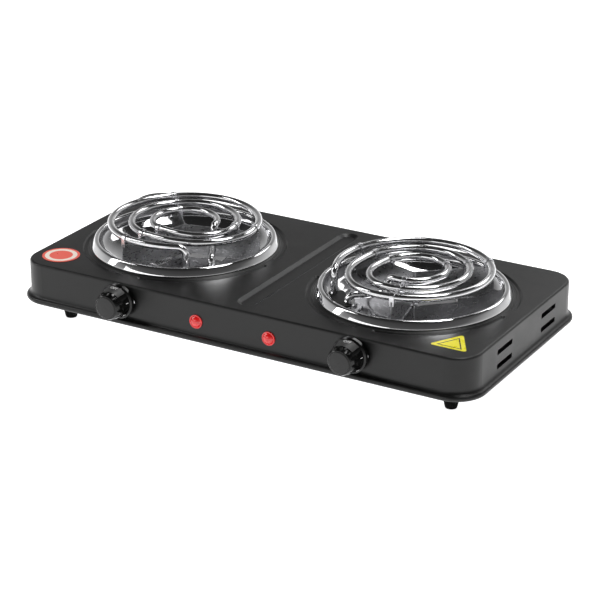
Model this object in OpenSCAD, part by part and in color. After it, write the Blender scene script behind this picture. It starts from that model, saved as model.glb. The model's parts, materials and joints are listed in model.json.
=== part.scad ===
// Twin spiral-coil hot plate: a pressed steel case on four rubber feet, two sheathed heating
// coils over polished drip bowls, and two knobs that each turn a thermostat.
// Origin: centre of the overall box, at the underside of the feet. +Z up, the knobs face -Y.

/* [Body] */
// Width of the case between its side walls
body_w = 448; // [430:1:470]
// Depth of the case between its front and rear walls
body_d = 218; // [212:1:230]
// Height of the case from the bottom rim to the deck
body_h = 37.5; // [35:0.5:45]
// Plan radius of the upright corners
corner_r = 24; // [18:1:30]
// How far the rolled bottom rim stands out from the walls
rim_w = 4.5; // [4:0.5:6]
// Height of the rubber feet below the rim
foot_h = 22.5; // [12:0.5:30]
// Thickness of the pressed steel sheet
sheet_t = 0.8; // [0.6:0.1:1.2]

/* [Burners] */
// Distance of each burner from the middle of the case
burner_x = 117; // [112:1:122]
// Outer radius of the chrome trim rings
ring_r = 86; // [82:1:87]
// Height of the trim rings above the deck
ring_h = 8.3; // [6:0.1:10]
// Radius of the outer turn of the coil, to the middle of the tube
coil_r = 67.2; // [64:0.2:69]
// Distance between neighbouring turns
coil_pitch = 19; // [17:0.5:20]
// Diameter of the sheathed heating tube
tube_d = 6.5; // [6:0.1:7]
// Height of the coil's mid-plane above the deck
coil_rise = 22.5; // [20:0.5:26]

/* [Controls] */
// Radius of the knob's skirt
knob_r = 16; // [14:0.5:17]
// Distance of each knob from the middle of the case
knob_x = 115.8; // [110:0.1:125]
// How far the knobs stand out from the front wall
knob_proud = 24; // [20:0.1:26]
// Height of the knob shafts above the bottom rim
knob_rise = 22.5; // [21.8:0.1:23]
// Distance of each pilot lamp from the middle of the case
lamp_x = 36.3; // [25:0.1:60]
// Height of the pilot lamps above the bottom rim
lamp_rise = 18; // [14:0.5:24]

/* [Cord entry] */
// Bore radius of the cord gland in the rear wall
gland_bore_r = 4.2; // [3.5:0.1:4.5]
// How far the gland stands out from the rear wall
gland_proud = 6; // [4:0.5:10]

/* [Hidden] */
$fn = 96;

rim_z = foot_h;
deck_z = foot_h + body_h;
coil_z = deck_z + coil_rise;
tube_r = tube_d / 2;
mid_y = (knob_proud - gland_proud) / 2;
front_wall = -body_d / 2;
rear_wall = body_d / 2;
knob_z = rim_z + knob_rise;
lamp_z = rim_z + lamp_rise;
gap = 0.15;

edge_r = 2;
flare_r = 4.2;
lip_r = 2.6;
lip_in = rim_w - lip_r;
flare_z = lip_r + sqrt(pow(flare_r + lip_r, 2) - pow(flare_r - lip_in, 2));
flare_end = acos((flare_r - lip_in) / (flare_r + lip_r));
lip_curl = 30;

bowl_hole_r = 79.9;
groove_out_r = 93.5;
groove_w = 5.7;
groove_depth = 1.3;
groove_slope = 1.6;
bridge_angle = 13;
channel_x = 3.5;
channel_y = 1;
channel_l = 196;
channel_w = 20;
channel_depth = 2.2;
channel_slope = 3.6;

vent_l = 29;
vent_h = 4.5;
vent_y = 44;
vent_shift = 2.3;
vent_rises = [13.3, 26.1];

base_t = 0.9;
base_z = rim_z + 1;
foot_x = 192.8;
foot_y = 76.4;
foot_top_r = 10.2;
foot_tip_r = 5.4;
tab_places = [[0, 0, 150], [0, 0, -150], [90, 60, 0], [90, -60, 0], [180, 0, 150],
    [180, 0, -150], [270, 60, 0], [270, -60, 0]];

bowl_t = 0.6;
bowl_line = [[79.2, 6.6], [78.2, 2.4], [75, -1.6], [69, -5.2], [62, -7.8], [55, -9], [40.5, -9],
    [38, -11], [2.4, -11]];
blade_t = 1;
blade_r = 72;
blade_line = [[54.6, -8.2], [61.3, -7], [68.4, -4.4], [blade_r, -2.2]];
blade_angles = [12, 132, 252];

leg_bend = 7;
leg_reach = 13;
inner_bend = 6;
step_start = 290;
step_span = 100;
run_drop = 15;
return_leg = [32, 62];
leg_bottom = deck_z - 19;
left_turn = -67.6;
right_turn = -159.6;
left_sweep = 998;
right_sweep = 1019;
right_spider_turn = -90;

knob_shift = 1.2;
knob_back = 2.2;
grip_r = 12.5;
cap_r = 9.6;
flute_count = 12;
flute_r = 2.3;
flute_depth = 0.8;
flute_l = 4;
screw_x = 12;
spindle_r = 3;
running = 0.05;
plunger_r = 1.5;
lens_r = 4.7;
lens_collar_r = 6.2;
lens_proud = 4.2;
label_t = 0.2;
wire_r = 1.6;
wire_z = base_z + base_t + 7;

// ---- shared shapes ----

module at_body() { translate([0, mid_y, 0]) children(); }
module at_burner(side) { at_body() translate([side * burner_x, 0, 0]) children(); }

// A local frame on the front wall whose +Z points out of the wall, towards the user
module at_front(x, z) { at_body() translate([x, front_wall, z]) rotate([90, 0, 0]) children(); }
module at_knob(side) { at_front(side * knob_x + knob_shift, knob_z) children(); }

module rounded_rect(w, d, r) {
    square([w - 2 * r, d], center = true);
    square([w, d - 2 * r], center = true);
    for (x = [-1, 1], y = [-1, 1]) translate([x * (w / 2 - r), y * (d / 2 - r)]) circle(r);
}

module plate(w, d, r, t) { linear_extrude(t) rounded_rect(w, d, r); }

// Points along an arc about c, from angle a to angle b in n steps
function arc_points(c, r, a, b, n) =
    [for (i = [0 : n]) let (t = a + (b - a) * i / n) c + r * [cos(t), sin(t)]];

// Carries an upright profile round the rounded outline of the case; x = 0 is the corner centre
module round_the_case() {
    w = body_w / 2 - corner_r;
    d = body_d / 2 - corner_r;
    for (q = [0 : 3]) {
        half = (q % 2 == 0) ? [w, d] : [d, w];
        rotate(90 * q) translate([half[0], half[1], 0]) {
            rotate_extrude(angle = 90) children();
            rotate([90, 0, 0]) linear_extrude(2 * half[1]) children();
        }
    }
}

// Closed outline of a thin revolved shell that follows a line of [radius, height] points
function line_normal(line, i) =
    let (a = line[max(i - 1, 0)], b = line[min(i + 1, len(line) - 1)], d = b - a)
    [-d[1], d[0]] / norm(d);
function shell_outline(line, t) = concat(line,
    [for (i = [len(line) - 1 : -1 : 0]) line[i] + t * line_normal(line, i)]);

// Tube swept along [x, y, z, heading] stations; the heading is the level direction of travel
function station_point(s) = [s[0], s[1], s[2]];
function station_side(s) = [-sin(s[3]), cos(s[3]), 0];
function unit(v) = v / norm(v);
function along(path, k) =
    unit(station_point(path[min(k + 1, len(path) - 1)]) - station_point(path[max(k - 1, 0)]));
module swept_tube(path, r, sides) {
    rings = len(path);
    points = [for (k = [0 : rings - 1], i = [0 : sides - 1])
        let (u = station_side(path[k]), v = unit(cross(along(path, k), u)), a = 360 * i / sides)
        station_point(path[k]) + r * (cos(a) * u + sin(a) * v)];
    quads = [for (k = [0 : rings - 2], i = [0 : sides - 1])
        let (j = (i + 1) % sides) [k * sides + i, (k + 1) * sides + i, (k + 1) * sides + j, k * sides + j]];
    skin = [for (q = quads) each [[q[0], q[1], q[2]], [q[0], q[2], q[3]]]];
    start_cap = [for (i = [0 : sides - 1]) i];
    end_cap = [for (i = [sides - 1 : -1 : 0]) (rings - 1) * sides + i];
    polyhedron(points, concat([start_cap], skin, [end_cap]));
}

// ---- case ----

// Cross-section of the pressed sheet: rolled deck edge, wall, flare and curled bottom rim
module skirt_profile() {
    roll = [corner_r - edge_r, body_h - edge_r];
    flare = [corner_r + flare_r, flare_z];
    lip = [corner_r + lip_in, lip_r];
    lip_from = flare_end - 12;
    lip_to = -90 - lip_curl;
    polygon(concat(
        arc_points(roll, edge_r, 90, 0, 4),
        arc_points(flare, flare_r, 180, 180 + flare_end, 5),
        arc_points(lip, lip_r, lip_from, lip_to, 8),
        arc_points(lip, lip_r - sheet_t, lip_to, lip_from, 8),
        arc_points(flare, flare_r + sheet_t, 180 + flare_end, 180, 5),
        arc_points(roll, edge_r - sheet_t, 0, 90, 4)));
}

// Conical-sided groove segment round a burner, between two bridges
module ring_groove_cut(q) {
    span = 90 - bridge_angle;
    outline = [[groove_out_r, 0.01], [groove_out_r - groove_slope, -groove_depth],
        [groove_out_r - groove_w + groove_slope, -groove_depth], [groove_out_r - groove_w, 0.01]];
    end_r = groove_w / 2;
    rotate(90 * q + bridge_angle / 2) {
        rotate_extrude(angle = span) polygon(outline);
        for (a = [0, span]) rotate(a) translate([groove_out_r - end_r, 0, -groove_depth])
            cylinder(h = groove_depth + 0.01, r1 = end_r - groove_slope - 0.15, r2 = end_r - 0.15);
    }
}

module channel_cut() {
    end_r = channel_w / 2;
    half_l = channel_l / 2 - end_r;
    outline = [[-end_r, 0.01], [-end_r + channel_slope, -channel_depth],
        [end_r - channel_slope, -channel_depth], [end_r, 0.01]];
    translate([channel_x, channel_y, 0]) {
        translate([0, half_l, 0]) rotate([90, 0, 0]) linear_extrude(2 * half_l) polygon(outline);
        for (y = [-half_l, half_l]) translate([0, y, -channel_depth])
            cylinder(h = channel_depth + 0.01, r1 = end_r - channel_slope - 0.15, r2 = end_r - 0.15);
    }
}

module burner_surround() {
    collar = [[ring_r + 1.2, 0], [ring_r - 1.5, 1.8], [bowl_hole_r, 1.8], [bowl_hole_r, 0]];
    translate([0, 0, -sheet_t - groove_depth]) difference() {
        cylinder(h = sheet_t + groove_depth, r = groove_out_r + 0.6);
        translate([0, 0, -1]) cylinder(h = sheet_t + groove_depth + 2, r = bowl_hole_r);
    }
    rotate_extrude() polygon(collar);
}

module base_tab() {
    cube_y = 14;
    translate([-5, -cube_y / 2, base_z + base_t]) difference() {
        cube([5, cube_y, 1.2]);
        translate([2.4, cube_y / 2, -1]) cylinder(h = 3, r = 1.3);
    }
    translate([-1, -cube_y / 2, base_z + base_t]) cube([1.1, cube_y, 14]);
}

// Places base screws and tabs just inside the walls; x points out of the nearest wall
module at_tabs() {
    for (p = tab_places) {
        side_wall = p[0] == 90 || p[0] == 270;
        half = side_wall ? body_w / 2 : body_d / 2;
        turn = side_wall ? (p[0] == 90 ? 0 : 180) : (p[0] == 0 ? 90 : -90);
        slide = side_wall ? [0, p[1], 0] : [p[2], 0, 0];
        at_body() translate(slide) rotate(turn) translate([half - sheet_t, 0, 0]) children();
    }
}

module deck_shell() color([0.13, 0.13, 0.14]) {
    difference() {
        union() {
            at_body() {
                translate([0, 0, rim_z]) round_the_case() skirt_profile();
                translate([0, 0, deck_z - sheet_t])
                    plate(body_w - 2 * edge_r, body_d - 2 * edge_r, corner_r - edge_r, sheet_t);
                translate([channel_x, channel_y, deck_z - sheet_t - channel_depth])
                    plate(channel_w, channel_l, channel_w / 2 - 0.01, sheet_t + channel_depth);
            }
            for (side = [-1, 1]) at_burner(side) translate([0, 0, deck_z]) burner_surround();
            at_tabs() base_tab();
        }
        at_body() translate([0, 0, deck_z]) channel_cut();
        for (side = [-1, 1]) {
            at_burner(side) translate([0, 0, deck_z]) {
                for (q = [0 : 3]) ring_groove_cut(q);
                translate([0, 0, -5]) cylinder(h = 10, r = bowl_hole_r);
            }
            at_knob(side) translate([0, 0, -2]) {
                cylinder(h = 4, r = 5);
                for (x = [-screw_x, screw_x]) translate([x, 0, 0]) cylinder(h = 4, r = 2.1);
            }
            at_front(side * lamp_x, lamp_z) translate([0, 0, -2]) cylinder(h = 4, r = lens_r + 0.1);
            for (y = [-vent_y, vent_y], z = vent_rises)
                at_body() translate([side * body_w / 2, y + vent_shift, rim_z + z])
                    rotate([90, 0, 90]) translate([0, 0, -2]) plate(vent_l, vent_h, 0.8, 4);
        }
        at_gland() translate([0, 0, -2]) cylinder(h = 4, r = 8.1);
    }
}

module base_plate() color([0.6, 0.61, 0.62]) {
    slot_l = 46;
    at_body() translate([0, 0, base_z]) difference() {
        plate(body_w - 2.4, body_d - 2.4, corner_r - 1.2, base_t);
        for (side = [-1, 1], i = [0 : 11]) translate([side * burner_x, 0, -1])
            rotate(30 * i) translate([62, 0, 0]) plate(slot_l / 2, 4, 1.9, 3);
        for (side = [-1, 1]) translate([side * burner_x, 0, -1])
            for (x = [-12, 12]) translate([x, 0, 0]) cylinder(h = 3, r = 1.7);
        for (x = [-foot_x, foot_x], y = [-foot_y, foot_y]) translate([x, y, -1]) cylinder(h = 3, r = 2.1);
        translate([0, 60, -1]) cylinder(h = 3, r = 1.7);
        translate([40, 60, -1]) cylinder(h = 3, r = 2.1);
        translate([0, -mid_y, -base_z]) at_tabs() translate([-2.6, 0, base_z - 1]) cylinder(h = 3, r = 1.6);
    }
}

// Pan-head screw: the head sits below z = 0 and the shank points up
module screw(head_r, head_h, shank_r, shank_l) {
    difference() {
        translate([0, 0, -head_h]) cylinder(h = head_h, r1 = head_r * 0.8, r2 = head_r);
        for (a = [0, 90]) rotate(a) translate([-head_r * 0.55, -0.4, -head_h - 1])
            cube([head_r * 1.1, 0.8, 1 + head_h * 0.5]);
    }
    cylinder(h = shank_l, r = shank_r);
}

module nut(across_flats, h, bore) {
    difference() {
        cylinder(h = h, r = across_flats / sqrt(3), $fn = 6);
        translate([0, 0, -1]) cylinder(h = h + 2, r = bore);
    }
}

module base_screws() color([0.75, 0.76, 0.78])
    at_tabs() translate([-2.6, 0, base_z]) screw(2.4, 0.9, 1.25, 4);

module foot(x, y) color([0.07, 0.07, 0.07]) {
    round_r = 1.4;
    h = base_z;
    outline = [[2.1, 8], [2.1, h], [foot_top_r, h], [foot_tip_r, round_r],
        [foot_tip_r - round_r * 0.3, round_r * 0.3], [foot_tip_r - round_r, 0], [3.2, 0], [3.2, 8]];
    at_body() translate([x, y, 0]) rotate_extrude() polygon(outline);
}
module front_left_foot() foot(-foot_x, -foot_y);
module front_right_foot() foot(foot_x, -foot_y);
module rear_left_foot() foot(-foot_x, foot_y);
module rear_right_foot() foot(foot_x, foot_y);

module at_feet() {
    at_body() for (x = [-foot_x, foot_x], y = [-foot_y, foot_y]) translate([x, y, 0]) children();
}
module foot_screws() color([0.75, 0.76, 0.78])
    at_feet() translate([0, 0, 8]) screw(3, 2, 1.95, base_z + base_t + 5 - 8);
module foot_nuts() color([0.75, 0.76, 0.78])
    at_feet() translate([0, 0, base_z + base_t]) nut(7, 3.2, 1.95);

// ---- burners ----

module trim_ring(side) color([0.85, 0.86, 0.88]) {
    top = ring_h;
    inner = 78.6;
    outline = [[ring_r, 1.45], [ring_r, 2.2], [inner + 4.2, top - 0.8], [inner + 3, top],
        [inner + 0.9, top], [inner, top - 0.8], [inner, top - 1.5], [inner + 0.7, top - 1.5],
        [inner + 1.2, top - 0.8], [inner + 2.8, top - 0.8], [inner + 3.6, top - 1.3],
        [ring_r - 0.7, 2], [ring_r - 0.7, 1.45]];
    at_burner(side) translate([0, 0, deck_z]) rotate_extrude() polygon(outline);
}
module left_trim_ring() trim_ring(-1);
module right_trim_ring() trim_ring(1);

module drip_bowl(side, turn) color([0.8, 0.81, 0.83]) {
    at_burner(side) translate([0, 0, deck_z]) difference() {
        rotate_extrude() polygon(shell_outline(bowl_line, -bowl_t));
        at_legs(turn) translate([0, 0, -20]) cylinder(h = 30, r = tube_r + 0.9);
    }
}
module left_drip_bowl() drip_bowl(-1, left_turn);
module right_drip_bowl() drip_bowl(1, right_turn);

// Spiral of nearly round turns that step inwards over a short stretch once a turn
function ease(x) = let (s = min(max(x, 0), 1)) s * s * (3 - 2 * s);
function turn_r(a) = coil_r - coil_pitch *
    (ease((a - step_start) / step_span) + ease((a - step_start - 360) / step_span));
function on_spiral(a) = [turn_r(a) * cos(a), -turn_r(a) * sin(a), coil_z];
function heading_at(a) = let (d = on_spiral(a + 1) - on_spiral(a - 1)) atan2(d[1], d[0]);
function level(h) = [cos(h), sin(h), 0];
function station(p, h) = [p[0], p[1], p[2], h];

// Rising or falling quarter bend between vertical and the level heading h
function bend_up(p, h, r, steps) = [for (i = [0 : steps]) let (b = 90 * i / steps)
    station(p + r * (1 - cos(b)) * level(h) + [0, 0, r * sin(b)], h)];
function bend_down(p, h, r, steps) = [for (i = [0 : steps]) let (b = 90 * i / steps)
    station(p + r * sin(b) * level(h) - [0, 0, r * (1 - cos(b))], h)];
function bend_out(p, h, r, steps) = [for (i = [0 : steps]) let (b = 90 * i / steps)
    station(p + r * (1 - cos(b)) * level(h) - [0, 0, r * sin(b)], h)];

function coil_path(sweep) = let (
        leg_top = [coil_r, leg_reach, coil_z - leg_bend],
        h_end = heading_at(sweep),
        dive = on_spiral(sweep),
        drop = dive + inner_bend * level(h_end) - [0, 0, inner_bend],
        out = return_leg[1] * level(return_leg[0]),
        h_run = atan2(out[1] - drop[1], out[0] - drop[0]),
        run_z = coil_z - run_drop,
        turn_in = [drop[0], drop[1], run_z + inner_bend],
        turn_out = out - inner_bend * level(h_run) + [0, 0, run_z])
    concat(
        [station([leg_top[0], leg_top[1], leg_bottom], -90)],
        bend_up(leg_top, -90, leg_bend, 5),
        [for (a = [0 : 10 : sweep - 9]) station(on_spiral(a), heading_at(a))],
        bend_down(dive, h_end, inner_bend, 5),
        [station(turn_in + [0, 0, 1.5], (h_end + nearest(h_run, h_end)) / 2)],
        bend_out(turn_in, nearest(h_run, h_end), inner_bend, 5),
        bend_down(turn_out, nearest(h_run, h_end), inner_bend, 5),
        [station([out[0], out[1], leg_bottom], nearest(h_run, h_end))]);
// The same direction as angle a, written within half a turn of angle b
function nearest(a, b) = a + 360 * round((b - a) / 360);

module coil(side, turn, sweep) color([0.62, 0.63, 0.65])
    at_burner(side) rotate(turn) swept_tube(coil_path(sweep), tube_r, 12);
module left_coil() coil(-1, left_turn, left_sweep);
module right_coil() coil(1, right_turn, right_sweep);

// Three upright blades on a centre post; the turns of the coil rest on their top edges
module spider(turn) {
    post_r = 1.6;
    low = blade_line[0][1];
    top = coil_rise - tube_r - 0.05;
    outline = concat([[post_r / 2, low]], blade_line,
        [[blade_r, top - 1.5], [blade_r - 1.5, top], [post_r / 2, top]]);
    translate([0, 0, deck_z]) {
        translate([0, 0, low - 0.1]) cylinder(h = top - low, r = post_r);
        rotate(turn) for (a = blade_angles) rotate(a) rotate([90, 0, 0])
            translate([0, 0, -blade_t / 2]) linear_extrude(blade_t) polygon(outline);
    }
}
module left_coil_spider() color([0.72, 0.73, 0.75]) at_burner(-1) spider(0);
module right_coil_spider() color([0.72, 0.73, 0.75]) at_burner(1) spider(right_spider_turn);

// How far round the spiral a blade at angle b is first met, for a coil turned by turn
function first_sweep(b, turn) = let (a = turn - b) a - 360 * floor(a / 360);

// Strap over the tube, forked over the blade below it
module clip() {
    strap = 0.6;
    r_in = tube_r + 0.25;
    r_out = r_in + strap;
    fork = 4;
    difference() {
        translate([0, 2, 0]) rotate([90, 0, 0]) linear_extrude(4) difference() {
            union() {
                circle(r_out);
                translate([-r_out, -tube_r - fork]) square([2 * r_out, tube_r + fork]);
            }
            circle(r_in);
            translate([-r_in, -tube_r - fork - 1]) square([2 * r_in, tube_r + fork + 1]);
        }
        translate([-10, -blade_t / 2 - 0.05, -20]) cube([20, blade_t + 0.1, 20 - tube_r + 0.05]);
    }
}
module coil_clips(side, turn, blade_turn, sweep) color([0.8, 0.81, 0.83]) {
    at_burner(side) for (b = blade_angles, k = [0 : 2]) {
        a = first_sweep(b + blade_turn, turn) + 360 * k;
        if (a > 12 && a < sweep - 12)
            rotate(b + blade_turn) translate([turn_r(a), 0, coil_z]) clip();
    }
}
module left_coil_clips() coil_clips(-1, left_turn, 0, left_sweep);
module right_coil_clips() coil_clips(1, right_turn, right_spider_turn, right_sweep);

module at_legs(turn) {
    rotate(turn) {
        translate([coil_r, leg_reach, 0]) children();
        rotate(return_leg[0]) translate([return_leg[1], 0, 0]) children();
    }
}

// Plate that ties the two legs together just above the bowl
module leg_clamp(side, turn) color([0.3, 0.3, 0.31]) {
    clamp_w = 14;
    clamp_l = 36;
    mid_a = (atan2(leg_reach, coil_r) + return_leg[0]) / 2;
    at_burner(side) difference() {
        rotate(turn + mid_a) translate([64.8, 0, deck_z - 1]) plate(clamp_w, clamp_l, 3, 1.2);
        at_legs(turn) translate([0, 0, deck_z - 5]) cylinder(h = 10, r = tube_r + 0.1);
    }
}
module left_leg_clamp() leg_clamp(-1, left_turn);
module right_leg_clamp() leg_clamp(1, right_turn);

module insulators(side, turn) color([0.93, 0.9, 0.83])
    at_burner(side) at_legs(turn) translate([0, 0, deck_z - 22]) difference() {
        cylinder(h = 8, r = 5.2);
        translate([0, 0, 3]) cylinder(h = 8, r = tube_r + 0.1);
        translate([0, 0, -1]) cylinder(h = 8, r = 1.3);
    }
module left_insulators() insulators(-1, left_turn);
module right_insulators() insulators(1, right_turn);

module terminal_tabs(side, turn) color([0.8, 0.8, 0.76])
    at_burner(side) at_legs(turn) {
        translate([0, 0, deck_z - 25]) cylinder(h = 5.9, r = 1.2);
        translate([-3.15, -0.4, deck_z - 33]) cube([6.3, 0.8, 8.1]);
    }
module left_terminal_tabs() terminal_tabs(-1, left_turn);
module right_terminal_tabs() terminal_tabs(1, right_turn);

// Hat-section bracket that holds the bowl down from the base plate
module bowl_bracket(side) color([0.6, 0.61, 0.62]) {
    top = deck_z - 11 - gap;
    floor_z = base_z + base_t;
    at_burner(side) difference() {
        translate([0, 7, 0]) rotate([90, 0, 0]) linear_extrude(14) polygon([[-17, floor_z],
            [-17, floor_z + 1], [-7, floor_z + 1], [-7, top], [7, top], [7, floor_z + 1],
            [17, floor_z + 1], [17, floor_z], [6, floor_z], [6, top - 1], [-6, top - 1], [-6, floor_z]]);
        translate([0, 0, top - 3]) cylinder(h = 6, r = 2.05);
        for (x = [-12, 12]) translate([x, 0, floor_z - 1]) cylinder(h = 4, r = 1.7);
    }
}
module left_bowl_bracket() bowl_bracket(-1);
module right_bowl_bracket() bowl_bracket(1);

module bowl_screws() color([0.75, 0.76, 0.78]) for (side = [-1, 1]) {
    at_burner(side) translate([0, 0, deck_z - 11 + bowl_t + 0.02]) mirror([0, 0, 1]) screw(4, 1.8, 2, 8);
    at_burner(side) for (x = [-12, 12]) translate([x, 0, base_z]) screw(2.8, 0.9, 1.55, 4);
}

// ---- controls ----

// Fluted cone on a skirt, drawn with its turning axis along +Z, z = 0 on the front wall
module knob_shape() {
    skirt_top = knob_back + 4.6;
    cone_r = knob_r - 1.4;
    cone_z = skirt_top + 0.4;
    rim = knob_proud - 1;
    grip_z = rim - 3.6;
    floor_z = rim - 1.4;
    outline = [[spindle_r + 0.02, knob_back], [knob_r - 0.6, knob_back], [knob_r, knob_back + 0.6],
        [knob_r, skirt_top - 0.9], [knob_r - 0.8, skirt_top], [cone_r, cone_z], [grip_r, grip_z],
        [cap_r + 1.3, rim - 0.4], [cap_r + 0.8, rim], [cap_r + 0.1, rim], [cap_r + 0.1, floor_z],
        [spindle_r + 0.02, floor_z]];
    lean = atan((cone_r - grip_r) / (grip_z - cone_z));
    difference() {
        rotate_extrude() polygon(outline);
        for (i = [0 : flute_count - 1])
            rotate((i + 0.8) * 360 / flute_count)
                translate([grip_r + flute_r - flute_depth, 0, grip_z])
                    rotate([0, -lean, 0]) translate([0, 0, -flute_l]) cylinder(h = knob_proud, r = flute_r);
    }
}
module knob(side) color([0.05, 0.05, 0.055]) at_knob(side) knob_shape();
module left_knob() knob(-1);
module right_knob() knob(1);

module knob_cap(side) color([0.32, 0.32, 0.33])
    at_knob(side) translate([0, 0, knob_proud])
        rotate_extrude() polygon([[0, -2.35], [cap_r, -2.35], [cap_r, -0.8], [cap_r - 0.6, -0.35],
            [cap_r / 2, -0.1], [0, 0]]);
module left_knob_cap() knob_cap(-1);
module right_knob_cap() knob_cap(1);

// Round shaft with a flat where the knob grips it
module spindle(side) color([0.7, 0.7, 0.66])
    at_knob(side) difference() {
        translate([0, 0, -12]) cylinder(h = 12 + knob_proud - 4.5, r = spindle_r);
        translate([-5, 2.2, 8]) cube([10, 3, knob_proud]);
    }
module left_spindle() spindle(-1);
module right_spindle() spindle(1);

module thermostat_bracket(side) color([0.72, 0.7, 0.62])
    at_knob(side) difference() {
        union() {
            translate([0, 0, -sheet_t - gap - 1]) plate(36, 22, 3, 1);
            translate([0, 0, -7]) cylinder(h = 6.6, r = 4.8);
        }
        translate([0, 0, -10]) cylinder(h = 12, r = spindle_r + running);
        for (x = [-screw_x, screw_x]) translate([x, 0, -5]) cylinder(h = 6, r = 1.5);
    }
module left_thermostat_bracket() thermostat_bracket(-1);
module right_thermostat_bracket() thermostat_bracket(1);

module thermostat_base(side) color([0.93, 0.9, 0.83])
    at_knob(side) difference() {
        translate([-12, -9, -22]) cube([24, 18, 22 - 7 - gap]);
        translate([0, 0, -13]) cylinder(h = 13, r = spindle_r + 0.3);
        translate([0, 0, -23]) cylinder(h = 13, r = plunger_r + running);
    }
module left_thermostat_base() thermostat_base(-1);
module right_thermostat_base() thermostat_base(1);

module plunger(side) color([0.95, 0.93, 0.88])
    at_knob(side) translate([0, 0, -23.2]) cylinder(h = 10.9, r = plunger_r);
module left_plunger() plunger(-1);
module right_plunger() plunger(1);

// Two spring blades with a silver contact between them, clamped at the end nearer the middle
module contact_blades(side) color([0.78, 0.6, 0.38])
    at_knob(side) mirror([(side + 1) / 2, 0, 0]) {
        for (z = [-24.8, -27.8]) translate([-8, -3, z]) cube([26, 6, 0.4]);
        translate([-5, 0, -26.6]) cylinder(h = 1.8, r = 2);
        translate([14, -3, -27.8]) cube([4, 6, 3.4]);
        translate([14, -3, -24.8]) cube([4, 6, 2.65]);
    }
module left_contact_blades() contact_blades(-1);
module right_contact_blades() contact_blades(1);

module thermostat_screws() color([0.75, 0.76, 0.78])
    for (side = [-1, 1], x = [-screw_x, screw_x]) at_knob(side)
        translate([x, 0, 0.02]) mirror([0, 0, 1]) screw(2.9, 0.85, 1.45, 4);

module pilot_lens(side) color([0.75, 0.05, 0.05])
    at_front(side * lamp_x, lamp_z) {
        ball_r = (pow(lens_collar_r - 0.8, 2) + pow(lens_proud - 1, 2)) / (2 * (lens_proud - 1));
        difference() {
            union() {
                cylinder(h = 1, r = lens_collar_r);
                translate([0, 0, -6]) cylinder(h = 6.5, r = lens_r);
                intersection() {
                    translate([0, 0, lens_proud - ball_r]) sphere(ball_r);
                    cylinder(h = lens_proud + 1, r = lens_collar_r - 0.8);
                }
            }
            translate([0, 0, -7]) cylinder(h = 7.5, r = 3.5);
        }
    }
module left_pilot_lens() pilot_lens(-1);
module right_pilot_lens() pilot_lens(1);

module neon_lamp(side) color([0.95, 0.6, 0.4])
    at_front(side * lamp_x, lamp_z) translate([0, 0, -14]) {
        cylinder(h = 11, r = 2.8);
        for (x = [-1.2, 1.2]) translate([x, 0, -6]) cylinder(h = 6.5, r = 0.4);
    }
module left_neon_lamp() neon_lamp(-1);
module right_neon_lamp() neon_lamp(1);

module lens_retainers() color([0.7, 0.71, 0.72])
    for (side = [-1, 1]) at_front(side * lamp_x, lamp_z)
        translate([0, 0, -sheet_t - gap - 0.5]) difference() {
            cylinder(h = 0.5, r = 8);
            translate([0, 0, -1]) cylinder(h = 3, r = lens_r + running);
        }

// ---- wiring ----

module terminal_block() color([0.9, 0.9, 0.86])
    at_body() translate([0, 60, base_z + base_t]) difference() {
        translate([-19, -8, 0]) cube([38, 16, 14]);
        for (x = [-12, 0, 12]) translate([x, 0, 7]) {
            rotate([90, 0, 0]) translate([0, 0, -10]) cylinder(h = 20, r = 2);
            cylinder(h = 10, r = 2.2);
        }
    }

module earth_screw() color([0.75, 0.76, 0.78])
    at_body() translate([40, 60, base_z]) {
        screw(3.6, 0.9, 1.95, 9);
        translate([0, 0, base_t]) nut(7, 3.2, 1.95);
    }

module at_gland() { at_body() translate([0, rear_wall, rim_z + 22]) rotate([-90, 0, 0]) children(); }

module cord_gland() color([0.06, 0.06, 0.06])
    at_gland() rotate_extrude() polygon([[gland_bore_r, -9], [8, -9], [8, 0], [11, 0], [11, 2],
        [10, 3], [8.2, 3.4], [7.2, gland_proud], [gland_bore_r, gland_proud]]);
module gland_nut() color([0.06, 0.06, 0.06])
    at_gland() translate([0, 0, -sheet_t - gap - 4]) nut(21, 4, 8 + running);

// Insulated wire through hand-placed bends, eased into a smooth run
function mix3(a, b, c, t) = (1 - t) * (1 - t) * a + 2 * t * (1 - t) * b + t * t * c;
module wire(points, tone) color(tone) {
    curve = [for (k = [1 : len(points) - 2], i = [0 : 5])
        let (a = (k == 1) ? points[0] : (points[k - 1] + points[k]) / 2,
            c = (k == len(points) - 2) ? points[k + 1] : (points[k] + points[k + 1]) / 2)
        mix3(a, points[k], c, (i + (k == 1 ? 0 : 0.5)) / 5.5)];
    path = [for (i = [0 : len(curve) - 1]) let (
        d = curve[min(i + 1, len(curve) - 1)] - curve[max(i - 1, 0)])
        station(curve[i], atan2(d[1], d[0]))];
    at_body() swept_tube(path, wire_r, 8);
}
module live_wire(side)
    wire([[side * 12, 54, wire_z], [side * 12, 20, wire_z], [side * 40, -20, wire_z - 2],
        [side * 56, -64, wire_z], [side * 76, -83, wire_z + 6], [side * 97 + knob_shift, -83, knob_z]],
        [0.35, 0.2, 0.12]);
module left_live_wire() live_wire(-1);
module right_live_wire() live_wire(1);
module neutral_wire()
    wire([[0, 54, wire_z], [0, 10, wire_z], [-10, -40, wire_z - 2], [-30, -60, wire_z],
        [-lamp_x, -87, lamp_z]], [0.15, 0.3, 0.6]);

// ---- printed labels ----

module round_label() color([0.8, 0.1, 0.08])
    at_body() translate([-198.7, -80, deck_z + 0.01]) cylinder(h = label_t, r = 17);

module triangle_label() color([0.95, 0.85, 0.1]) {
    side = 34.5;
    r = 2;
    out = side / sqrt(3) - 2 * r;
    at_body() translate([195, -81, deck_z + 0.01]) linear_extrude(label_t)
        hull() for (a = [90, 210, 330]) translate(out * [cos(a), sin(a)]) circle(r, $fn = 32);
}

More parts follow.
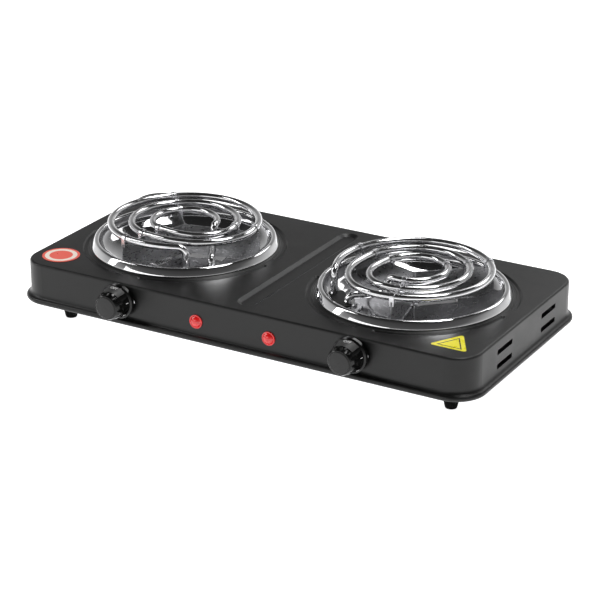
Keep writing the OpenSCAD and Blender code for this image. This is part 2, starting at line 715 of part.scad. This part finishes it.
deck_shell();
base_plate();
base_screws();
front_left_foot();
front_right_foot();
rear_left_foot();
rear_right_foot();
foot_screws();
foot_nuts();
left_trim_ring();
right_trim_ring();
left_drip_bowl();
right_drip_bowl();
left_coil();
right_coil();
left_coil_spider();
right_coil_spider();
left_coil_clips();
right_coil_clips();
left_leg_clamp();
right_leg_clamp();
left_insulators();
right_insulators();
left_terminal_tabs();
right_terminal_tabs();
left_bowl_bracket();
right_bowl_bracket();
bowl_screws();
left_knob();
right_knob();
left_knob_cap();
right_knob_cap();
left_spindle();
right_spindle();
left_thermostat_bracket();
right_thermostat_bracket();
left_thermostat_base();
right_thermostat_base();
left_plunger();
right_plunger();
left_contact_blades();
right_contact_blades();
thermostat_screws();
left_pilot_lens();
right_pilot_lens();
left_neon_lamp();
right_neon_lamp();
lens_retainers();
terminal_block();
earth_screw();
cord_gland();
gland_nut();
left_live_wire();
right_live_wire();
neutral_wire();
round_label();
triangle_label();
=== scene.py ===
"""Looks for a twin spiral-coil electric hot plate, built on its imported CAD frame."""

import json
import math

import bmesh
import bpy
from mathutils import Matrix, Vector


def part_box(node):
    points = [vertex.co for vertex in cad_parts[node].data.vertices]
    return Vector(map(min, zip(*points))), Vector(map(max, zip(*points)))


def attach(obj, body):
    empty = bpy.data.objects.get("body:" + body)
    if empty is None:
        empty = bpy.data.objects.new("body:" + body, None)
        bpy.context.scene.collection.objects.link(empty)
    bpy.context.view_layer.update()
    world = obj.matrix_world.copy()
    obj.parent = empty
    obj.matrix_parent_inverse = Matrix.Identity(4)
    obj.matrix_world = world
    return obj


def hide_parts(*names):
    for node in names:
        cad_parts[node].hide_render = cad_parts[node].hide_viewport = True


MM = 0.001
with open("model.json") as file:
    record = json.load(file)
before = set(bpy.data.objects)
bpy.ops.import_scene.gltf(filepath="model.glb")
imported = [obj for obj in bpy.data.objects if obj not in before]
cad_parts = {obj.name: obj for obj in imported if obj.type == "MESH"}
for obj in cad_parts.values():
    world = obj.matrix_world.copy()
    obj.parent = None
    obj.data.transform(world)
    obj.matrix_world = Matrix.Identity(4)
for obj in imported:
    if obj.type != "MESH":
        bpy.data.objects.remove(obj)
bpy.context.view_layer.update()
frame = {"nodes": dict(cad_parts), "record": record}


# ---- node helpers ----

# Places of a colour Mix node's own sockets, which share their names with its number sockets.
MIX_FIRST, MIX_SECOND, MIX_RESULT = 6, 7, 2


class Graph:
    """A material's node tree, with short calls for the nodes that every finish shares."""

    def __init__(self, name):
        self.material = bpy.data.materials.new(name)
        self.material.use_nodes = True
        self.tree = self.material.node_tree
        self.shader = self.tree.nodes["Principled BSDF"]
        coords = self.tree.nodes.new("ShaderNodeTexCoord")
        self.place = coords.outputs["Object"]

    def node(self, kind, **settings):
        made = self.tree.nodes.new("ShaderNode" + kind)
        for key, value in settings.items():
            setattr(made, key, value)
        return made

    def link(self, source, target):
        self.tree.links.new(source, target)

    def set(self, **values):
        for key, value in values.items():
            self.shader.inputs[key.replace("_", " ")].default_value = value

    def noise(self, scale, detail=3.0, stretch=(1, 1, 1)):
        """Noise with this many features a metre, stretched along an axis where asked."""
        mapping = self.node("Mapping")
        mapping.inputs["Scale"].default_value = stretch
        self.link(self.place, mapping.inputs["Vector"])
        made = self.node("TexNoise")
        made.inputs["Scale"].default_value = scale
        made.inputs["Detail"].default_value = detail
        self.link(mapping.outputs["Vector"], made.inputs["Vector"])
        return made.outputs["Fac"]

    def spread(self, source, low, high):
        """Maps the middle of a noise, 0.3 to 0.7, onto low to high."""
        made = self.node("MapRange")
        made.inputs["From Min"].default_value = 0.3
        made.inputs["From Max"].default_value = 0.7
        made.inputs["To Min"].default_value = low
        made.inputs["To Max"].default_value = high
        self.link(source, made.inputs["Value"])
        return made.outputs["Result"]

    def blend(self, mask, first, second):
        """Mixes two colours, or sockets, by a mask."""
        made = self.node("Mix", data_type="RGBA")
        self.link(mask, made.inputs["Factor"])
        for value, socket in ((first, made.inputs[MIX_FIRST]), (second, made.inputs[MIX_SECOND])):
            if isinstance(value, tuple):
                socket.default_value = (*value, 1)
            else:
                self.link(value, socket)
        return made.outputs[MIX_RESULT]

    def colour(self, source):
        self.link(source, self.shader.inputs["Base Color"])

    def roughness(self, source):
        self.link(source, self.shader.inputs["Roughness"])

    def bump(self, height, depth, strength, corner=None):
        """Bump of this depth in metres, over corners rounded to a radius where asked."""
        made = self.node("Bump")
        made.inputs["Distance"].default_value = depth
        made.inputs["Strength"].default_value = strength
        self.link(height, made.inputs["Height"])
        if corner:
            bevel = self.node("Bevel", samples=4)
            bevel.inputs["Radius"].default_value = corner
            self.link(bevel.outputs["Normal"], made.inputs["Normal"])
        self.link(made.outputs["Normal"], self.shader.inputs["Normal"])

    def edges(self, radius):
        """A mask that is 1 on edges, where wear from rubbing and a painted edge highlight go: where a
        bevelled normal leaves the true one.
        """
        starts, full = 0.02, 0.25
        bevel = self.node("Bevel", samples=4)
        bevel.inputs["Radius"].default_value = radius
        true = self.node("NewGeometry")
        dot = self.node("VectorMath", operation="DOT_PRODUCT")
        self.link(bevel.outputs["Normal"], dot.inputs[0])
        self.link(true.outputs["Normal"], dot.inputs[1])
        mask = self.node("MapRange")
        mask.inputs["From Min"].default_value = 1 - starts
        mask.inputs["From Max"].default_value = 1 - full
        self.link(dot.outputs["Value"], mask.inputs["Value"])
        return mask.outputs["Result"]


# ---- finishes ----

def painted_steel(name, tone, rough):
    """Baked satin enamel with a faint orange peel and lighter edges: partly wear from rubbing, partly a
    painted highlight along the edges.
    """
    g = Graph(name)
    g.set(Specular_IOR_Level=0.36)
    # Lighter edge tone: partly wear from rubbing, partly a painted highlight along the edges.
    worn_and_highlit_edge = tuple(2.2 * c for c in tone)
    dusty = tuple(1.25 * c for c in tone)
    patches = g.spread(g.noise(14), 0, 1)
    g.colour(g.blend(g.edges(0.0007), g.blend(patches, tone, dusty), worn_and_highlit_edge))
    g.roughness(g.spread(g.noise(30, 5), rough - 0.04, rough + 0.05))
    g.bump(g.noise(900, 2), 0.00001, 0.4, corner=0.0004)
    return g.material


def bright_metal(name, tone, rough, grain=(1, 1, 1), grain_scale=400, depth=0.00001):
    """Polished or brushed metal with fine handling marks along its grain."""
    g = Graph(name)
    dull = tuple(0.86 * c for c in tone)
    g.set(Metallic=1.0)
    g.colour(g.blend(g.spread(g.noise(40, 4), 0, 1), tone, dull))
    g.roughness(g.spread(g.noise(grain_scale / 4, 4, grain), rough * 0.7, rough * 1.5))
    g.bump(g.noise(grain_scale, 3, grain), depth, 0.6, corner=0.0002)
    return g.material


def moulded_plastic(name, tone, rough, grain=1500):
    """Moulded plastic with a fine skin texture and slightly lighter edges: partly wear from rubbing,
    partly a painted highlight along the edges.
    """
    g = Graph(name)
    g.set(Specular_IOR_Level=0.35)
    # Lighter edge tone: partly wear from rubbing, partly a painted highlight along the edges.
    rubbed_and_highlit_edge = tuple(1.6 * c + 0.001 for c in tone)
    g.colour(g.blend(g.edges(0.0004), tone, rubbed_and_highlit_edge))
    g.roughness(g.spread(g.noise(60, 4), rough * 0.85, rough * 1.2))
    g.bump(g.noise(grain, 2), 0.00002, 0.5, corner=0.0003)
    return g.material


def rubber(name, tone):
    """Dull rubber or wire cover with scuffs and a fine, grainy skin."""
    g = Graph(name)
    scuffed = tuple(1.6 * c + 0.001 for c in tone)
    g.set(Specular_IOR_Level=0.06)
    g.colour(g.blend(g.spread(g.noise(120, 5), 0, 0.6), tone, scuffed))
    g.roughness(g.spread(g.noise(80), 0.65, 0.85))
    g.bump(g.noise(1400, 3), 0.00006, 0.7, corner=0.0004)
    return g.material


def zinc_sheet(name):
    """Galvanised sheet: crystal spangle in tone and roughness."""
    g = Graph(name)
    g.set(Metallic=1.0)
    cells = g.node("TexVoronoi")
    cells.inputs["Scale"].default_value = 160
    g.link(g.place, cells.inputs["Vector"])
    tone = g.node("SeparateColor")
    g.link(cells.outputs["Color"], tone.inputs["Color"])
    spangle = tone.outputs["Red"]
    g.colour(g.blend(spangle, (0.5, 0.51, 0.53), (0.62, 0.63, 0.65)))
    g.roughness(g.spread(spangle, 0.3, 0.42))
    g.bump(g.noise(700, 3), 0.00002, 0.5, corner=0.0003)
    return g.material


def ceramic(name):
    """Unglazed off-white steatite, a little mottled."""
    g = Graph(name)
    g.colour(g.blend(g.spread(g.noise(60, 5), 0, 1), (0.82, 0.79, 0.7), (0.72, 0.68, 0.58)))
    g.roughness(g.spread(g.noise(200), 0.5, 0.7))
    g.bump(g.noise(1800, 3), 0.00004, 0.6, corner=0.0004)
    return g.material


def clear_red(name):
    """Translucent red lens with soft moulding waves."""
    g = Graph(name)
    g.set(IOR=1.5, Coat_Weight=0.6, Coat_Roughness=0.05)
    g.set(Emission_Color=(1, 0.02, 0.02, 1), Emission_Strength=0.22)
    g.colour(g.blend(g.spread(g.noise(300), 0, 1), (0.62, 0.012, 0.012), (0.32, 0.004, 0.005)))
    g.roughness(g.spread(g.noise(150), 0.1, 0.18))
    g.bump(g.noise(500, 1), 0.00003, 0.4)
    return g.material


def lamp_glass(name):
    """Clear glass of the small neon lamps, faintly warm."""
    g = Graph(name)
    g.set(Transmission_Weight=0.8, IOR=1.45)
    g.colour(g.blend(g.spread(g.noise(200), 0, 1), (0.95, 0.6, 0.4), (0.9, 0.75, 0.6)))
    g.roughness(g.spread(g.noise(200), 0.03, 0.1))
    return g.material


def middle(node):
    """Middle of a CAD part's box."""
    low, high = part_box(node)
    return (Vector(low) + Vector(high)) / 2


def centre_distance(g, centre):
    """Distance of each point from a vertical line through the centre."""
    flat = g.node("VectorMath", operation="MULTIPLY")
    flat.inputs[1].default_value = (1, 1, 0)
    g.link(g.place, flat.inputs[0])
    apart = g.node("VectorMath", operation="DISTANCE")
    g.link(flat.outputs["Vector"], apart.inputs[0])
    apart.inputs[1].default_value = (centre.x, centre.y, 0)
    return apart.outputs["Value"]


def bands(g, value, stops):
    """Hard-edged colour bands along a value given in metres."""
    span = stops[-1][0]
    scaled = g.node("Math", operation="DIVIDE")
    scaled.inputs[1].default_value = span
    g.link(value, scaled.inputs[0])
    ramp = g.node("ValToRGB")
    ramp.color_ramp.interpolation = "CONSTANT"
    ramp.color_ramp.elements[0].color = (*stops[0][1], 1)
    ramp.color_ramp.elements.remove(ramp.color_ramp.elements[1])
    for (start, _), (_, tone) in zip(stops, stops[1:]):
        ramp.color_ramp.elements.new(start / span).color = (*tone, 1)
    g.link(scaled.outputs["Value"], ramp.inputs["Fac"])
    return ramp.outputs["Color"]


def round_print(name, node):
    """Plain target rings: red centre, cream ring, red rim."""
    low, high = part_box(node)
    radius = (high[0] - low[0]) / 2
    g = Graph(name)
    red, cream = (0.9, 0.13, 0.09), (0.97, 0.85, 0.74)
    rings = [(0.62 * radius, red), (0.86 * radius, cream), (1.01 * radius, red)]
    g.colour(bands(g, centre_distance(g, middle(node)), rings))
    g.roughness(g.spread(g.noise(90, 4), 0.25, 0.4))
    g.bump(g.noise(700, 2), 0.00002, 0.4)
    return g.material


def triangle_print(name, node):
    """Plain yellow triangle with a thin dark line inside its border."""
    low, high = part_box(node)
    inner = (high[1] - low[1]) / 3
    centre = Vector(((low[0] + high[0]) / 2, low[1] + inner, 0))
    g = Graph(name)
    away = None
    for side_angle in (30, 150, 270):
        offset = g.node("VectorMath", operation="SUBTRACT")
        g.link(g.place, offset.inputs[0])
        offset.inputs[1].default_value = centre
        reach = g.node("VectorMath", operation="DOT_PRODUCT")
        g.link(offset.outputs["Vector"], reach.inputs[0])
        a = math.radians(side_angle)
        reach.inputs[1].default_value = (math.cos(a), math.sin(a), 0)
        if away is None:
            away = reach.outputs["Value"]
            continue
        furthest = g.node("Math", operation="MAXIMUM")
        g.link(away, furthest.inputs[0])
        g.link(reach.outputs["Value"], furthest.inputs[1])
        away = furthest.outputs["Value"]
    yellow, dark = (0.95, 0.85, 0.03), (0.05, 0.045, 0.01)
    g.colour(bands(g, away, [(0.6 * inner, yellow), (0.72 * inner, dark), (1.1 * inner, yellow)]))
    g.roughness(g.spread(g.noise(90, 4), 0.25, 0.4))
    g.bump(g.noise(700, 2), 0.00002, 0.4)
    return g.material


FINISHES = {
    "case_paint": painted_steel("case_paint", (0.004, 0.004, 0.004), 0.36),
    "clamp_steel": painted_steel("clamp_steel", (0.002, 0.002, 0.002), 0.45),
    "zinc_sheet": zinc_sheet("zinc_sheet"),
    "screw_steel": bright_metal("screw_steel", (0.7, 0.7, 0.72), 0.25),
    "clip_steel": bright_metal("clip_steel", (0.75, 0.75, 0.77), 0.2),
    "spider_steel": bright_metal("spider_steel", (0.36, 0.36, 0.37), 0.3, (1, 1, 4), 900, 0.000004),
    "terminal_plating": bright_metal("terminal_plating", (0.72, 0.7, 0.62), 0.3),
    "chrome_ring": bright_metal("chrome_ring", (0.83, 0.83, 0.84), 0.05, depth=0.000001),
    "chrome_bowl": bright_metal("chrome_bowl", (0.6, 0.6, 0.61), 0.06, depth=0.000001),
    "coil_sheath": bright_metal("coil_sheath", (0.7, 0.7, 0.71), 0.13, grain_scale=700, depth=0.000002),
    "spindle_brass": bright_metal("spindle_brass", (0.7, 0.55, 0.3), 0.25),
    "contact_bronze": bright_metal("contact_bronze", (0.66, 0.42, 0.24), 0.3),
    "foot_rubber": rubber("foot_rubber", (0.001, 0.001, 0.001)),
    "wire_brown": rubber("wire_brown", (0.12, 0.05, 0.02)),
    "wire_blue": rubber("wire_blue", (0.03, 0.09, 0.3)),
    "ceramic": ceramic("ceramic"),
    "knob_plastic": moulded_plastic("knob_plastic", (0.002, 0.002, 0.002), 0.16),
    "cap_satin": moulded_plastic("cap_satin", (0.014, 0.014, 0.014), 0.4, 2500),
    "block_plastic": moulded_plastic("block_plastic", (0.7, 0.7, 0.64), 0.45),
    "gland_plastic": moulded_plastic("gland_plastic", (0.012, 0.012, 0.012), 0.4),
    "lens_red": clear_red("lens_red"),
    "lamp_glass": lamp_glass("lamp_glass"),
    # Lighter grey for the top of the knobs' cones: a painted reflection of the lights on the glossy
    # black plastic.
    "painted_reflection_satin": moulded_plastic("painted_reflection_satin", (0.03, 0.03, 0.03), 0.45),
    "dial_print": moulded_plastic("dial_print", (0.75, 0.75, 0.75), 0.4),
    "label_red": round_print("label_red", "round_label"),
    "label_yellow": triangle_print("label_yellow", "triangle_label"),
}

SLOTS = {part["node"]: part["material_slot"] for part in frame["record"]["subparts"]}


def dress_frame():
    """Gives every carried-over CAD node its finish."""
    for node, thing in frame["nodes"].items():
        thing.data.materials.clear()
        thing.data.materials.append(FINISHES[SLOTS[node]])


# ---- burner pieces ----

COLLAR_RISE = 1.8 * MM  # the deck's raised collars under the rings, above its flat part
DECK_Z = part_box("deck_shell")[1][2] - COLLAR_RISE
TUBE_R = 3.25 * MM
COIL = {"radius": 67.2 * MM, "pitch": 19 * MM, "step_start": 290, "step_span": 100}
LEG_BEND = 7 * MM
LEG_REACH = 13 * MM
INNER_BEND = 6 * MM
RUN_DROP = 15 * MM  # how far below the turns the inner end runs outwards
RETURN_LEG = {"angle": 32, "radius": 62 * MM}
BURNERS = {"left": {"turn": -67.6, "sweep": 998}, "right": {"turn": -159.6, "sweep": 1019}}


def burner_centre(side):
    centre = middle(f"{side}_trim_ring")
    return Vector((centre.x, centre.y, 0))


def new_piece(name, mesh, node, finish, body="chassis", sharp=40):
    """Finishes a built mesh: smooth shading, its finish and its body; hides the CAD node it stands for,
    if one is given.
    """
    for face in mesh.polygons:
        face.use_smooth = True
    mesh.set_sharp_from_angle(angle=math.radians(sharp))
    piece = bpy.data.objects.new(name, mesh)
    bpy.context.collection.objects.link(piece)
    mesh.materials.append(FINISHES[finish])
    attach(piece, body)
    if node:
        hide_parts(node)
    return piece


def grid_mesh(name, rows, closed_rows, closed_columns):
    """A mesh of quads over rows of points; each direction may close on itself."""
    bm = bmesh.new()
    made = [[bm.verts.new(point) for point in row] for row in rows]
    row_count, column_count = len(rows), len(rows[0])
    for i in range(row_count if closed_rows else row_count - 1):
        for j in range(column_count if closed_columns else column_count - 1):
            k, m = (i + 1) % row_count, (j + 1) % column_count
            bm.faces.new((made[i][j], made[k][j], made[k][m], made[i][m]))
    if not closed_rows:
        bm.faces.new(made[0])
        bm.faces.new(list(reversed(made[-1])))
    bmesh.ops.recalc_face_normals(bm, faces=bm.faces)
    mesh = bpy.data.meshes.new(name)
    bm.to_mesh(mesh)
    bm.free()
    return mesh


def soften(points, rounds):
    """Rounds the corners of a closed outline by cutting them again and again."""
    for _ in range(rounds):
        following = points[1:] + points[:1]
        points = [
            tuple(a * (1 - t) + b * t for a, b in zip(p, q))
            for p, q in zip(points, following) for t in (0.22, 0.78)]
    return points


def lathe(name, outline, centre):
    """Turns a closed outline of (radius, height) points round an upright axis."""
    segments = 200
    rows = []
    for i in range(segments):
        angle = 2 * math.pi * i / segments
        across = Vector((math.cos(angle), math.sin(angle), 0))
        rows.append([centre + r * across + Vector((0, 0, z)) for r, z in outline])
    return grid_mesh(name, rows, True, True)


def trim_ring(side):
    """Pressed chrome ring: sloped outer wall, rounded lip and a short inner skirt."""
    low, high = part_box(f"{side}_trim_ring")
    r, top, foot = (high[0] - low[0]) / 2, high[2], low[2]
    skin = 0.7 * MM
    inner = r - 7.4 * MM
    outer_skin = [
        (r, foot),
        (r, foot + 0.8 * MM),
        (inner + 4.2 * MM, top - 0.8 * MM),
        (inner + 3 * MM, top),
        (inner + 0.9 * MM, top),
        (inner, top - 0.8 * MM),
        (inner, top - 1.5 * MM)]
    inner_skin = [
        (inner + skin, top - 1.5 * MM),
        (inner + 1.2 * MM, top - skin),
        (inner + 2.8 * MM, top - skin),
        (inner + 3.6 * MM, top - 1.3 * MM),
        (r - skin, foot + 0.6 * MM),
        (r - skin, foot)]
    mesh = lathe(f"{side}_ring", soften(outer_skin + inner_skin, 3), burner_centre(side))
    new_piece(f"{side}_polished_ring", mesh, f"{side}_trim_ring", "chrome_ring")


def drip_bowl(side):
    """Spun bowl with a rounded wall, two shallow steps and a flat middle."""
    sheet_out, sheet_down = 0.3, 0.55
    inner = [
        (78.6, 6.7), (77.6, 2.3), (74.4, -1.2), (68.5, -4.6), (61.8, -7.1), (56, -8.0),
        (54.6, -8.6), (41, -8.6), (39.4, -9.0), (38.2, -10.2), (36, -10.4), (4.2, -10.4)]
    shell = inner + [(r + sheet_out, z - sheet_down) for r, z in reversed(inner)]
    outline = [(r * MM, DECK_Z + z * MM) for r, z in soften(shell, 3)]
    mesh = lathe(f"{side}_bowl", outline, burner_centre(side))
    new_piece(f"{side}_polished_bowl", mesh, f"{side}_drip_bowl", "chrome_bowl")


def ease(x):
    """Goes smoothly from 0 to 1."""
    x = min(max(x, 0), 1)
    return x * x * (3 - 2 * x)


def on_spiral(angle):
    """Plan point of the coil: near-round turns that step inwards once a turn."""
    steps = sum(ease((angle - COIL["step_start"] - lap) / COIL["step_span"]) for lap in (0, 360))
    r = COIL["radius"] - COIL["pitch"] * steps
    a = math.radians(-angle)
    return Vector((r * math.cos(a), r * math.sin(a), 0))


def heading(angle):
    """Direction in plan in which the coil runs at this angle."""
    ahead = on_spiral(angle + 1) - on_spiral(angle - 1)
    return math.atan2(ahead.y, ahead.x)


def level(direction):
    """Unit vector in plan."""
    return Vector((math.cos(direction), math.sin(direction), 0))


def bend(start, direction, radius, shape):
    """Quarter bend: up to level, level to down, or down to level."""
    steps = 10
    stations = []
    for i in range(steps + 1):
        b = math.pi / 2 * i / steps
        out, rise = {
            "up": (1 - math.cos(b), math.sin(b)),
            "down": (math.sin(b), math.cos(b) - 1),
            "out": (1 - math.cos(b), -math.sin(b))}[shape]
        stations.append((start + radius * (out * level(direction) + Vector((0, 0, rise))), direction))
    return stations


def coil_path(sweep, z, bottom):
    """Stations of the coil: up one leg, round the turns, down, out and down the other leg."""
    up = Vector((0, 0, 1))
    leg = Vector((COIL["radius"], LEG_REACH, z - LEG_BEND))
    dive_heading = heading(sweep)
    dive = on_spiral(sweep) + z * up
    drop = dive + INNER_BEND * level(dive_heading)
    foot = RETURN_LEG["radius"] * level(math.radians(RETURN_LEG["angle"]))
    run_heading = math.atan2(foot.y - drop.y, foot.x - drop.x)
    run_heading += 2 * math.pi * round((dive_heading - run_heading) / (2 * math.pi))
    turn_in = Vector((drop.x, drop.y, z - RUN_DROP + INNER_BEND))
    turn_out = foot - INNER_BEND * level(run_heading) + (z - RUN_DROP) * up
    start = math.radians(-90)
    path = [(Vector((leg.x, leg.y, bottom)), start)]
    path += bend(leg, start, LEG_BEND, "up")
    path += [(on_spiral(a) + z * up, heading(a)) for a in range(0, int(sweep), 4)]
    path += bend(dive, dive_heading, INNER_BEND, "down")
    path.append((turn_in + 1.5 * MM * up, (dive_heading + run_heading) / 2))
    path += bend(turn_in, run_heading, INNER_BEND, "out")
    path += bend(turn_out, run_heading, INNER_BEND, "down")
    path.append((Vector((foot.x, foot.y, bottom)), run_heading))
    return path


def coil(side):
    """Sheathed tube swept along the coil's path."""
    low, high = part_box(f"{side}_coil")
    path = coil_path(BURNERS[side]["sweep"], high[2] - TUBE_R, low[2])
    turned = Matrix.Translation(burner_centre(side)) @ Matrix.Rotation(
        math.radians(BURNERS[side]["turn"]), 4, "Z")
    facets = 24
    rows = []
    for i, (point, direction) in enumerate(path):
        before, after = path[max(i - 1, 0)][0], path[min(i + 1, len(path) - 1)][0]
        side_way = Vector((-math.sin(direction), math.cos(direction), 0))
        up_way = (after - before).normalized().cross(side_way).normalized()
        rows.append([
            turned @ (point + TUBE_R * (math.cos(a) * side_way + math.sin(a) * up_way))
            for a in (2 * math.pi * k / facets for k in range(facets))])
    mesh = grid_mesh(f"{side}_tube", rows, False, True)
    new_piece(f"{side}_heating_tube", mesh, f"{side}_coil", "coil_sheath", sharp=60)


# ---- dial marks ----

DIAL_LEAN = math.radians(80)
OFF_ANGLE = 88
DIGIT_START, DIGIT_STEP = 62, 52


def on_cone(side, angle, forward):
    """Point and outward normal of the knob's cone: angle from the right, forward from its skirt."""
    low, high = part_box(f"{side}_knob")
    axis = middle(f"{side}_knob")
    radius = (high[0] - low[0]) / 2 - 1.38 * MM - forward / math.tan(DIAL_LEAN)
    a = math.radians(angle)
    outward = Vector((math.cos(a), 0, math.sin(a)))
    place = Vector((axis.x, high[1] - 5 * MM - forward, axis.z)) + radius * outward
    return place, outward * math.sin(DIAL_LEAN) + Vector((0, -math.cos(DIAL_LEAN), 0))


def dial_panel(side):
    """Lighter satin band on the upper part of the cone, behind the word OFF: a painted reflection of
    the lights on the glossy black cone.
    """
    start, span, steps = 46, 84, 32
    rows = []
    for i in range(steps + 1):
        angle = start + span * i / steps
        base, normal = on_cone(side, angle, 0.4 * MM)
        tip, _ = on_cone(side, angle, 10 * MM)
        lift = 0.06 * MM * normal
        rows.append([base + lift, tip + lift, tip - lift, base - lift])
    mesh = grid_mesh(f"{side}_panel", rows, False, True)
    new_piece(f"{side}_dial_panel", mesh, None, "painted_reflection_satin", f"{side}_control")


def dial_mark(side, text, angle):
    """One raised print on the cone, read from the front with its foot towards the knob's grip."""
    data = bpy.data.curves.new(f"{side}_mark_{text}", "FONT")
    data.body = text
    data.align_x = "CENTER"
    data.align_y = "CENTER"
    data.size = 4 * MM
    data.extrude = 0.08 * MM
    label = bpy.data.objects.new(f"{side}_mark_{text}", data)
    bpy.context.collection.objects.link(label)
    place, normal = on_cone(side, angle, 3 * MM)
    a = math.radians(angle)
    across = Vector((math.sin(a), 0, -math.cos(a)))
    turned = Matrix((across, normal.cross(across), normal)).transposed().to_4x4()
    turned.translation = place + 0.1 * MM * normal
    bpy.context.view_layer.update()
    mesh = bpy.data.meshes.new_from_object(label)
    mesh.transform(turned)
    mesh.materials.clear()
    bpy.data.objects.remove(label)
    new_piece(f"{side}_dial_{text.lower()}", mesh, None, "dial_print", f"{side}_control")


def dial_marks(side):
    """The painted reflection band, OFF at the top and the digits 1 to 5 clockwise from it."""
    dial_panel(side)
    dial_mark(side, "OFF", OFF_ANGLE)
    for number in range(1, 6):
        dial_mark(side, str(number), DIGIT_START - DIGIT_STEP * number)


# ---- stage ----

def make_floor():
    """Plain white floor that gives off some light, so that it stays white all round."""
    bpy.ops.mesh.primitive_plane_add(size=60)
    floor = bpy.context.object
    floor.name = "floor"
    g = Graph("floor_white")
    g.set(Specular_IOR_Level=0.0, Emission_Color=(1, 1, 1, 1), Emission_Strength=0.8)
    g.colour(g.blend(g.spread(g.noise(2), 0, 1), (0.93, 0.93, 0.93), (0.95, 0.95, 0.95)))
    g.roughness(g.spread(g.noise(3), 0.85, 0.95))
    floor.data.materials.append(g.material)


def aim(thing, place, target):
    """Stands a camera or light at a place and points it at the target."""
    thing.location = place
    thing.rotation_euler = (Vector(target) - Vector(place)).to_track_quat("-Z", "Y").to_euler()


def make_camera():
    """Stands where the reference view was taken from: front right, a little above."""
    azimuth, elevation, distance = math.radians(30.03), math.radians(22.66), 1.9364
    low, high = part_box("deck_shell")
    left, behind = 0.0045, 0.0145
    target = Vector(((low[0] + high[0]) / 2 - left, (low[1] + high[1]) / 2 + behind, low[2]))
    back = Vector((
        math.sin(azimuth) * math.cos(elevation),
        -math.cos(azimuth) * math.cos(elevation),
        math.sin(elevation)))
    data = bpy.data.cameras.new("camera")
    data.sensor_width = 36
    data.lens = 128.78
    data.clip_end = 100
    camera = bpy.data.objects.new("camera", data)
    bpy.context.collection.objects.link(camera)
    aim(camera, target + distance * back, target)
    bpy.context.scene.camera = camera


def softbox(name, place, target, size, watts):
    """A rectangular studio light."""
    data = bpy.data.lights.new(name, "AREA")
    data.shape = "RECTANGLE"
    data.size, data.size_y = size
    data.energy = watts
    light = bpy.data.objects.new(name, data)
    bpy.context.collection.objects.link(light)
    aim(light, place, target)


def make_sky():
    """Grey studio surroundings: light near the horizon, dark overhead."""
    world = bpy.data.worlds.new("studio")
    world.use_nodes = True
    nodes, links = world.node_tree.nodes, world.node_tree.links
    coords = nodes.new("ShaderNodeTexCoord")
    split = nodes.new("ShaderNodeSeparateXYZ")
    ramp = nodes.new("ShaderNodeValToRGB")
    tones = [(0.0, 0.9), (0.2, 0.6), (0.36, 0.34), (0.5, 0.1), (0.75, 0.03), (1.0, 0.02)]
    ramp.color_ramp.elements.remove(ramp.color_ramp.elements[1])
    ramp.color_ramp.elements[0].color = (tones[0][1],) * 3 + (1,)
    for height, tone in tones[1:]:
        ramp.color_ramp.elements.new(height).color = (tone,) * 3 + (1,)
    links.new(coords.outputs["Generated"], split.inputs["Vector"])
    links.new(split.outputs["Z"], ramp.inputs["Fac"])
    links.new(ramp.outputs["Color"], nodes["Background"].inputs["Color"])
    bpy.context.scene.world = world


def make_lights():
    """Four soft lights: one overhead, one at the left, one in front and one behind."""
    softbox("overhead", (0.3, 0.5, 1.9), (0.05, 0.2, 0), (1.6, 0.5), 24)
    softbox("left_strip", (-1.5, -0.6, 1.1), (0, 0, 0.04), (0.3, 1.4), 8)
    softbox("front_left", (-0.8, -1.9, 0.85), (0, 0, 0.04), (2.0, 0.6), 6)
    softbox("back_strip", (0.3, 1.7, 1.3), (0, 0, 0.04), (1.6, 0.5), 8)
    bpy.context.scene.view_settings.view_transform = "Standard"


dress_frame()
for side in ("left", "right"):
    trim_ring(side)
    drip_bowl(side)
    coil(side)
    dial_marks(side)
make_floor()
make_camera()
make_sky()
make_lights()
